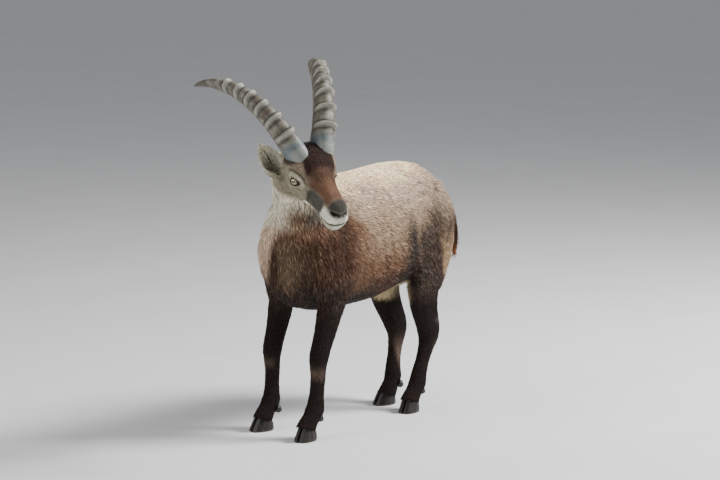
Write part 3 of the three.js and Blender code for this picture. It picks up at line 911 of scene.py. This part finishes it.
def makeHorn(side, s=hornSettings):
    path = hornPath(side)
    stations = np.linspace(0.001, 0.996, s["stations"])
    middle = np.stack([curve(stations) for curve in path], 1)
    ahead = unit(np.stack([curve.deriv()(stations) for curve in path], 1))
    front = hornFront(side, ahead)
    across = np.cross(ahead, front)
    rng = np.random.default_rng(3 + sides[side])
    angle = np.linspace(0, 2 * math.pi, s["around"], endpoint=False)
    c, t = signedPower(np.cos(angle), 0.72), signedPower(np.sin(angle), 0.8)
    thin = (1 - stations) ** 0.55 * (1 - 0.1 * stations)
    flare = 1 + 0.12 * hill(stations, 0.03, 0.06)
    halfDepth = np.maximum(s["depth"] / 2 * thin * flare, 2.5)
    halfWidth = np.maximum(s["width"] / 2 * thin * (0.84 + 0.16 * step(stations, 0, 0.12)), 2)
    boss, collar, shadow, crest = np.zeros((4, len(stations)))
    for at in s["bosses"]:
        # a boss is steep towards the tip and slopes towards the base
        d = stations - at
        boss += s["bossHeight"] * np.where(d > 0, hill(d, 0, 0.009), hill(d, 0, 0.014))
        collar += hill(d, 0.002, 0.016)
        shadow += 0.8 * hill(d, 0.016, 0.006) + 0.6 * hill(d, -0.03, 0.009)
        # the crest of each boss gets a painted highlight
        crest += hill(d, -0.006, 0.011)
    along = stations * s["length"]
    rings = 0.42 * np.sin(along / s["ringSpacing"] * 2 * math.pi + 1.3 * np.sin(along / 23))
    rings += 0.14 * np.sin(along / 2.3 * 2 * math.pi + 2 * np.sin(along / 11))
    rings *= 0.35 + 0.65 * step(stations, 0.1, 0.2)
    uneven = rng.normal(size=(len(stations), s["around"]))
    for _ in range(3):
        uneven = (uneven + np.roll(uneven, 1, 1) + np.roll(uneven, -1, 1)) / 3
        uneven[1:-1] = (uneven[:-2] + uneven[1:-1] + uneven[2:]) / 3
    frontShare = step(c, 0.1, 0.9)
    lobes = 1 + 0.16 * np.cos(t * math.pi * 2) + 0.1 * np.sin(t * 5)
    push = (rings * (1 - 0.6 * collar))[:, None] + 0.6 * uneven
    push = push - 0.5 * collar[:, None] * (1 - frontShare)
    push *= step(1 - stations, 0.0, 0.12)[:, None]
    x = c * (halfDepth[:, None] + push) + boss[:, None] * (frontShare * lobes)
    wide = (halfWidth[:, None] + push) * (1 - 0.3 * fall(c, -1, 0.2))
    y = t * (wide + boss[:, None] * 0.3 * step(c, -0.4, 0.6))
    drawn = middle[:, None] + x[..., None] * front[:, None] + y[..., None] * across[:, None]
    placed = fromHead(drawn.reshape(-1, 3)).reshape(drawn.shape)

    bm = bmesh.new()
    loop = list(bmesh.ops.create_circle(bm, segments=s["around"], radius=1, cap_ends=True)["verts"])
    place(loop, placed[0])
    order = list(loop)
    for row in placed[1:]:
        edges = [bm.edges.get(pair) for pair in zip(loop, loop[1:] + loop[:1])]
        made = bmesh.ops.extrude_edge_only(bm, edges=edges)["geom"]
        partner = {}  # the new vertex that each one of the last ring leads to
        for vert in made:
            if isinstance(vert, bmesh.types.BMVert):
                for edge in vert.link_edges:
                    partner[edge.other_vert(vert)] = vert
        loop = [partner[vert] for vert in loop]
        place(loop, row)
        order += loop
    bmesh.ops.contextual_create(bm, geom=loop)
    bm.verts.index_update()
    bmesh.ops.recalc_face_normals(bm, faces=bm.faces)
    index = [vert.index for vert in order]
    mesh = meshFrom(bm, "horn")

    def allRound(values):
        # a station's value for each point of its ring
        return np.repeat(values, s["around"])

    drawn = drawn.reshape(-1, 3)
    share, around = allRound(stations), np.tile(c, len(stations))
    colour = np.empty_like(drawn)
    colour[index] = layered(tonesOf(s["tones"]), "plain", len(share), [
        ("pale", 0.2 + 0.35 * wobble(drawn, 26, 8)),
        ("rust", 0.55 * step(wobble(drawn, 40, 9), -0.1, 0.8)),
        ("base", 0.85 * fall(share, 0.1, 0.145)),
        ("pale", 0.45 * fall(share, 0.07, 0.1) * step(around, 0.2, 0.9)),
        # painted shade in the grooves between the fine rings, and painted shadow under each boss
        ("groove", 0.68 * allRound(fall(rings, -0.6, -0.1))),
        ("groove", 1.15 * allRound(shadow) * step(around, -0.6, 0.3)),
        # painted highlight along the crest of each boss
        ("pale", 0.9 * allRound(crest) * step(around, -0.2, 0.6)),
        ("tip", 0.7 * step(share, 0.72, 0.95)),
    ])
    setColours(mesh, "hornColour", colour)
    return smoothShaded(newObject("hornSheath_" + side, mesh))


hornGrain = (260, 6, (1, 1, 1.6))
hornLook, _ = colouredBy(
    "hornColour", "hornSheath", 0.52, 0.35, hornGrain, tint=(0.68, 1.12), bump=(0.35, 0.0008),
)
for side in sides:
    horn = makeHorn(side)
    horn.data.materials.append(hornLook)
    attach(horn, "root")
    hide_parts("horn_" + side)
print("horns made")


# Claws and dew claws
clawSettings = {
    "voxel": 0.0013,
    "smoothing": 6,
    "grow": 0.0003,
    "topLift": 0.0045,  # how far a claw's top goes on up into the skin
    "dewVoxel": 0.001,
    "dewSize": 1.6,  # thickness and length over the solid's
    "dewLength": 0.8,
    "dewForward": 0.006,
    "tones": {"plain": "1d1916", "worn": "463d35"},
}


def makeClaw(name, s=clawSettings):
    dew = name.startswith("dew")
    bm = bmesh.new()
    mergedCopy(bm, name, 0)
    claw = newObject(("spur_" if dew else "hoof_") + name.split("_", 1)[1], meshFrom(bm, "claw"))
    addRemesh(claw, s["dewVoxel"] if dew else s["voxel"])
    addSmooth(claw, s["smoothing"])
    settle(claw)
    normals = normalsOf(claw.data)
    points = pointsOf(claw.data) + normals * s["grow"]
    if dew:
        middle = points.mean(0)
        v = points - middle
        longest = np.linalg.svd(v, full_matrices=False)[2][0]
        along = v @ longest
        points = middle + v * s["dewSize"]
        points = points + np.outer(along * (s["dewLength"] - s["dewSize"]), longest)
        points[:, 1] -= s["dewForward"]
    top = step(normals[:, 2], 0.55, 0.85) * step(points[:, 2], 0.02, 0.03)
    points[:, 2] = np.maximum(points[:, 2] + s["topLift"] * top * (not dew), 0.0)
    movePoints(claw.data, points)
    worn = 0.7 * step(-points[:, 2] * 1000, -9, -1) + 0.25 * wobble(points * 1000, 14, 4)
    colour = layered(tonesOf(s["tones"]), "plain", len(points), [("worn", worn)])
    setColours(claw.data, "hoofColour", colour)
    return smoothShaded(claw)


hoofGrain = (240, 4, (1, 1, 5))
hoofLook, _ = colouredBy(
    "hoofColour", "hoofHorn", 0.5, 0.35, hoofGrain, tint=(0.65, 1.1), bump=(0.5, 0.0006),
)
for name in nodes:
    if name.startswith(("claw", "dewclaw")):
        claw = makeClaw(name)
        claw.data.materials.append(hoofLook)
        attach(claw, "root")
        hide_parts(name)
print("claws made")


# Coat: solid tufts over the skin, following the lie of the hair
coatSettings = {
    "seed": 17,
    "perPiece": 19400,
    "rise": 0.16,  # how steeply a tuft leaves the skin
    "riseBack": 0.1,
    "riseLegs": 0.75,  # the rise on the legs and the head, over the trunk's
    "riseHead": 0.8,
    "scatter": 0.096,  # how far a tuft's way strays at random
    "flutter": 0.16,  # and in waves
    "rootDepth": 0.0006,
    "thickness": 0.22,  # of a tuft, as a share of its width
    "paleShare": 0.16,  # of the tufts on the trunk
    "paleTone": "b7a48f",
}
lieReach = 95  # millimetres round a place of the list below

# The hair's way at places of the trunk: (distance from the spine, y, z), then the way
trunkLie = [
    ((0, -160, 790), (0, 1, -0.05)),
    ((0, 20, 785), (0, 1, 0)),
    ((0, 250, 800), (0, 1, -0.15)),
    ((0, 400, 710), (0, 0.55, -0.85)),
    ((110, -100, 650), (0, 1, -0.45)),
    ((140, 40, 600), (0, 1, -0.42)),
    ((120, 160, 600), (0, 0.9, -0.6)),
    ((100, 300, 660), (0.1, 0.6, -0.8)),
    ((95, 300, 500), (0, 0.3, -1)),
    ((60, 400, 560), (-0.1, 0.2, -1)),
    ((90, -230, 640), (0.1, 0.6, -0.8)),
    ((95, -240, 450), (0, 0.25, -1)),
    ((0, -390, 600), (0, -0.1, -1)),
    ((60, -350, 520), (0.2, 0.2, -1)),
    ((0, -310, 410), (0, 0.5, -0.7)),
    ((0, -100, 370), (0, 1, -0.1)),
    ((0, 100, 380), (0, 1, 0.1)),
    ((110, -20, 440), (-0.1, 0.9, -0.6)),
    ((70, -300, 760), (-0.2, 0.55, -0.8)),
    ((30, -350, 720), (-0.1, 0.1, -1)),
]


def turned(way, other, share):
    return way * (1 - share)[:, None] + other * share[:, None]


def lieOfCoat(points):
    body, head = toBody(points), toHead(points)
    side = np.where(body[:, 0] < 0, -1.0, 1.0)
    mirrored = body.copy()
    mirrored[:, 0] *= side
    way = np.zeros_like(body)
    for spot, lie in trunkLie:
        near = np.exp(-((mirrored - np.array(spot)) ** 2).sum(1) / lieReach ** 2) + 1e-7
        way += unit(np.array(lie, float)) * near[:, None]
    way = unit(way)
    way[:, 0] *= side
    y, z = body[:, 1], body[:, 2]
    way = turned(way, unit(np.array([0, 0.1, -1.0])), fall(z, 350, 420))  # legs
    way = turned(way, np.array([0, 0.15, -1.0]), step(y, 434, 446) * step(z, 430, 450))  # tail
    y, z = head[:, 1], head[:, 2]
    sideways, down = 0.25 * np.sign(y) * step(z, 40, 70), -0.1 - 0.55 * fall(z, -40, 10)
    face = np.stack([-np.ones(len(y)), sideways, down + 0.5 * step(z, 30, 60)], 1)
    way = turned(way, unit(face) @ headTurn.T, headShare(head))
    for name in sides:
        reach, edgeways, _ = earAxes(name)
        across = earPlace(points, name)[1][:, None]
        earWay = reach + 0.35 * np.sign(across) * edgeways * step(np.abs(across), 8, 20)
        way = np.where(byEar(points, name)[:, None], earWay @ headTurn.T, way)
    return unit(way)


def tuftSize(points):
    # length and width of the tufts in millimetres, and how many stand on a square centimetre
    body, head = toBody(points), toHead(points)
    y, z = body[:, 1], body[:, 2]
    length = 24 + 6 * hill(y, -330, 120) * hill(z, 560, 140) + 3 * step(z, 720, 790)
    size = np.stack([length, np.full(len(y), 2.7), np.full(len(y), 6.6)])
    muzzle = step(head[:, 0], 110, 220)
    for share, wanted in (
        (fall(z, 330, 440), (10, 1.9, 8.5)),  # legs
        (fall(z, 60, 120), (7.5, 1.6)),  # feet
        (step(y, 436, 446) * step(z, 430, 450), (30,)),  # tail
        (headShare(head), (9.5 - 6 * muzzle, 1.9 - 0.7 * muzzle, 20 + 14 * muzzle)),
    ):
        for row, want in zip(size, wanted):
            row += (want - row) * share
    for side in sides:
        size[:, byEar(points, side)] = np.array([[9], [1.5], [18]])
    return size


def hairShare(points, normals):
    # 0 where no hair grows: lips, nostrils, between the lids and on the soles
    body, head = toBody(points), toHead(points)
    x, y, z = head[:, 0], np.abs(head[:, 1]), head[:, 2]
    gap = z - mouthHeight(x)
    bare = (nostrilShare(head, 1.25) > 0.3) & (x > 240)
    bare |= (x > 204) & (gap > -3.0) & (gap < 5.0)
    bare |= (x > 266) & (z > -8) & (y < 9)
    bare &= headShare(head) > 0.5
    bare |= (body[:, 2] < 52) & (normals[:, 2] < -0.45)
    for side in sides:
        v, out, a, u = inEye(head, side)
        near = (out > 0) & (np.linalg.norm(v, axis=1) < 30)
        bare |= near & (lidEdge(a, u) < eyeSettings["rim"] + 0.8)
    return np.where(bare, 0.0, 1.0)


regionNames = [
    "Head", "Ears", "FlankLeft", "FlankRight", "Chest",
    "RumpLeft", "RumpRight", "ForeLegs", "HindLegs", "Tail",
]


def pickRegion(points):
    # the place in regionNames of each root, where a later line wins
    x, y, z = toBody(points).T
    left = x > 0
    region = np.full(len(points), regionNames.index("Chest"))
    for name, chosen in (
        ("FlankLeft", (y > -120) & left),
        ("FlankRight", (y > -120) & ~left),
        ("RumpLeft", (y > 130) & left),
        ("RumpRight", (y > 130) & ~left),
        ("ForeLegs", (z < 380) & (y < 0)),
        ("HindLegs", (z < 380) & (y >= 0)),
        ("Head", headShare(toHead(points)) > 0.5),
        ("Tail", (y > 436) & (z > 430)),
        ("Ears", byEar(points, "left") | byEar(points, "right")),
    ):
        region[chosen] = regionNames.index(name)
    return region


def turnOf(a, b):
    # the angle of a place round an axis, from 0 to 1
    return np.arctan2(a, b) / (2 * math.pi) + 0.5


def unwrapRoots(points, name):
    # the place of each root on an unwrap of its own part of the skin, from 0 to 1
    (x, y, z), head = toBody(points).T, toHead(points)
    half = np.where(x > 0, 0, 0.5)
    if name == "Head":
        u, v = turnOf(head[:, 1], head[:, 2] - 5), (head[:, 0] + 40) / 330
    elif name == "Ears":
        left, right = (np.array(earPlace(points, side)) for side in sides)
        nearer = np.abs(left[1]) + np.abs(left[2]) < np.abs(right[1]) + np.abs(right[2])
        along, across, out = np.where(nearer, left, right)
        u, v = np.where(nearer, 0, 0.5) + 0.5 * turnOf(out, across), along / 132
    elif name == "ForeLegs":
        u, v = half + 0.5 * turnOf(x - np.where(x > 0, 100, -100), y + 300), z / 385
    elif name == "HindLegs":
        u, v = half + 0.5 * turnOf(x - np.where(x > 0, 88, -78), y - 225), z / 385
    elif name == "Tail":
        u, v = turnOf(x, y - 470), (z - 430) / 290
    elif name == "Chest":
        u, v = turnOf(x, y + 150), (z - 360) / 560
    else:
        start, reach = (-125, 260) if name.startswith("Flank") else (125, 320)
        u, v = np.arctan2(np.abs(x), z - 590) / math.pi, (y - start) / reach
    return np.clip(np.stack([u, v], 1), 0, 1) * 0.99 + 0.005


def meshOfTufts(name, points, triangles, colours, places):
    mesh = bpy.data.meshes.new(name)
    mesh.vertices.add(len(points))
    mesh.vertices.foreach_set("co", points.astype(np.float32).ravel())
    mesh.loops.add(triangles.size)
    mesh.loops.foreach_set("vertex_index", triangles.ravel().astype(np.int32))
    mesh.polygons.add(len(triangles))
    mesh.polygons.foreach_set("loop_start", np.arange(0, triangles.size, 3, dtype=np.int32))
    mesh.update(calc_edges=True)
    mesh.validate()
    layer = mesh.uv_layers.new(name="OFBake")
    layer.data.foreach_set("uv", places[triangles.ravel()].astype(np.float32).ravel())
    setColours(mesh, "hide", colours)
    return mesh


def growCoat(skin, s=coatSettings):
    rng = np.random.default_rng(s["seed"])
    mesh = skin.data
    mesh.calc_loop_triangles()
    corners = np.empty(len(mesh.loop_triangles) * 3, np.int32)
    mesh.loop_triangles.foreach_get("vertices", corners)
    corners = corners.reshape(-1, 3)
    points, normals = pointsOf(mesh), normalsOf(mesh)
    a, b, c = (points[corners[:, i]] for i in range(3))
    span = np.cross(b - a, c - a)
    area = np.linalg.norm(span, axis=1) / 2 * 1e4  # square centimetres
    middle = (a + b + c) / 3
    total = np.cumsum(area * tuftSize(middle)[2] * hairShare(middle, unit(span)))
    count = int(total[-1])
    pick = np.searchsorted(total, (np.arange(count) + rng.random(count)) / count * total[-1])
    pick = np.minimum(pick, len(corners) - 1)
    r1, r2 = np.sqrt(rng.random(count)), rng.random(count)
    weights = np.stack([1 - r1, r1 * (1 - r2), r1 * r2], 1)
    roots = np.einsum("nk,nkd->nd", weights, points[corners[pick]])
    out = unit(np.einsum("nk,nkd->nd", weights, normals[corners[pick]]))

    # no tufts where a horn stands
    hornTrees = []
    for side in sides:
        horn = nodes["horn_" + side].data
        shell = [v.co for v in horn.vertices], [p.vertices[:] for p in horn.polygons]
        hornTrees.append(BVHTree.FromPolygons(*shell))
    keep = np.ones(count, bool)
    head = toHead(roots)
    close = (head[:, 0] > -10) & (head[:, 0] < 130) & (head[:, 2] > 10) & (headShare(head) > 0.3)
    for i in np.nonzero(close)[0]:
        for horn in hornTrees:
            nearest, normal, _, distance = horn.find_nearest(Vector(roots[i]))
            if distance < 0.001 or (Vector(roots[i]) - nearest).dot(normal) < 0:
                keep[i] = False
    roots, out = roots[keep], out[keep]
    count = len(roots)
    body, onHead = toBody(roots), headShare(toHead(roots))

    lie = lieOfCoat(roots) + s["scatter"] * rng.normal(size=(count, 3))
    lie = unit(lie - out * (lie * out).sum(1)[:, None])
    across = np.cross(out, lie)
    lie = unit(lie + across * (s["flutter"] * wobble(roots * 1000, 70, 21))[:, None])
    across = np.cross(out, lie)
    length, width, _ = tuftSize(roots)
    length = length * rng.uniform(0.75, 1.25, count) / 1000
    width = width * rng.uniform(0.7, 1.3, count) / 1000
    rise = s["rise"] + (s["riseBack"] - s["rise"]) * step(body[:, 1], -230, -90)
    rise = rise * rng.uniform(0.6, 1.3, count)
    rise = np.where(body[:, 2] < 380, rise * s["riseLegs"], rise)
    rise = np.where(onHead > 0.5, rise * s["riseHead"], rise)
    bend = rng.normal(size=count) * 0.12

    def ringAt(share, wide):
        # three corners round a tuft, at a share of its length
        middle = roots + lie * (length * share)[:, None] + across * (length * bend * share)[:, None]
        half = across * (width * wide / 2)[:, None]
        top = out * (width * wide * s["thickness"])[:, None]
        return [middle - half, middle + half, middle + top]

    lift = out * (length * rise * 0.85)[:, None]
    rootRing = [corner - out * s["rootDepth"] for corner in ringAt(0, 0.8)]
    midRing = [corner + lift * 0.8 for corner in ringAt(0.48, 1.0)]
    tip = roots + lie * length[:, None] + across * (length * bend)[:, None] + lift * 0.95
    allPoints = np.stack(rootRing + midRing + [tip], 1)
    faces = np.array([
        [0, 1, 4], [0, 4, 3], [1, 2, 5], [1, 5, 4], [2, 0, 3], [2, 3, 5],
        [3, 4, 6], [4, 5, 6], [5, 3, 6], [0, 2, 1],
    ])

    # streaks, clumps and pale tufts over the hide's own colour
    trunk = step(body[:, 2], 340, 440)
    streak = np.exp(rng.normal(size=count) * (0.08 + 0.1 * trunk)) * mottle(roots)
    clump = 1 + 0.14 * wobble(roots * 1000, 13, 9)
    base = markings(roots) * (streak * clump)[:, None]
    pale = (rng.random(count) < s["paleShare"]) * step(body[:, 2], 360, 460) * (1 - onHead)
    base = base * (1 + 0.55 * pale)[:, None]
    base = paint(base, tone(s["paleTone"]), 0.16 * pale)
    # painted shade at a tuft's root, rising to a painted highlight at its tip
    tuftShadeAndHighlight = np.array([0.72, 0.72, 0.78, 0.95, 0.95, 1.02, 1.16])  # root to tip
    colours = base[:, None, :] * tuftShadeAndHighlight[None, :, None]
    region = pickRegion(roots)
    patch = np.array([[-1, -1], [1, -1], [0, -1], [-1, 0], [1, 0], [0, 0], [0, 1]]) * 0.0015
    pieces = []
    for index, name in enumerate(regionNames):
        chosen = np.nonzero(region == index)[0]
        if not len(chosen):
            continue
        uv = unwrapRoots(roots[chosen], name)
        parts = math.ceil(len(chosen) / s["perPiece"])
        for part in range(parts):
            own = chosen[part::parts]
            places = (uv[part::parts][:, None, :] + patch).reshape(-1, 2)
            triangles = (faces + 7 * np.arange(len(own))[:, None, None]).reshape(-1, 3)
            label = "coat" + name + ("" if parts == 1 else "_" + str(part + 1))
            corners, tints = allPoints[own].reshape(-1, 3), colours[own].reshape(-1, 3)
            pieces.append(newObject(label, meshOfTufts(label, corners, triangles, tints, places)))
            print(label, len(own), "tufts")
    return pieces


coatLook, shader = colouredBy("hide", "coatHair", 0.7, 0.12, grain=(340, 3), tint=(0.86, 1.1))
setInputs(shader, {"Sheen Weight": 0.03, "Sheen Roughness": 0.5})
for piece in growCoat(skin):
    piece.data.materials.append(coatLook)
    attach(piece, "root")
print("coat grown")


# Floor, light and camera
stageSettings = {
    "floorSize": 30,
    "floorPaleness": (0.62, 0.7),
    "key": {"at": (2.4, 2.4, 3.8), "power": 560, "size": 1.6},
    "fill": {"at": (-1.4, -4.2, 2.4), "power": 150, "size": 3.2},
    "lampsAim": (0, 0, 0.55),
    "sky": 0.4,
    "skyTone": (0.95, 0.97, 1, 1),
}


def makeStage(s=stageSettings):
    bm = bmesh.new()
    bmesh.ops.create_grid(bm, x_segments=4, y_segments=4, size=s["floorSize"])
    floor = newObject("floor", meshFrom(bm, "floor"))
    look, tree, shader = newMaterial("paleFloor", 0.9, 0.2)
    join(tree, rangeOf(tree, noiseOn(tree, 3, 3), *s["floorPaleness"]), "Result", shader, "Base Color")
    floor.data.materials.append(look)
    for name in ("key", "fill"):
        light = bpy.data.lights.new(name, "AREA")
        light.energy = s[name]["power"]
        light.size = s[name]["size"]
        lamp = newObject(name, light)
        lamp.location = Vector(s[name]["at"])
        lamp.rotation_euler = (Vector(s["lampsAim"]) - lamp.location).to_track_quat("-Z", "Y").to_euler()
    world = bpy.data.worlds.new("studio")
    bpy.context.scene.world = world
    world.use_nodes = True
    setInputs(world.node_tree.nodes["Background"], {"Color": s["skyTone"], "Strength": s["sky"]})


makeStage()
makeCamera()

print("stage set")
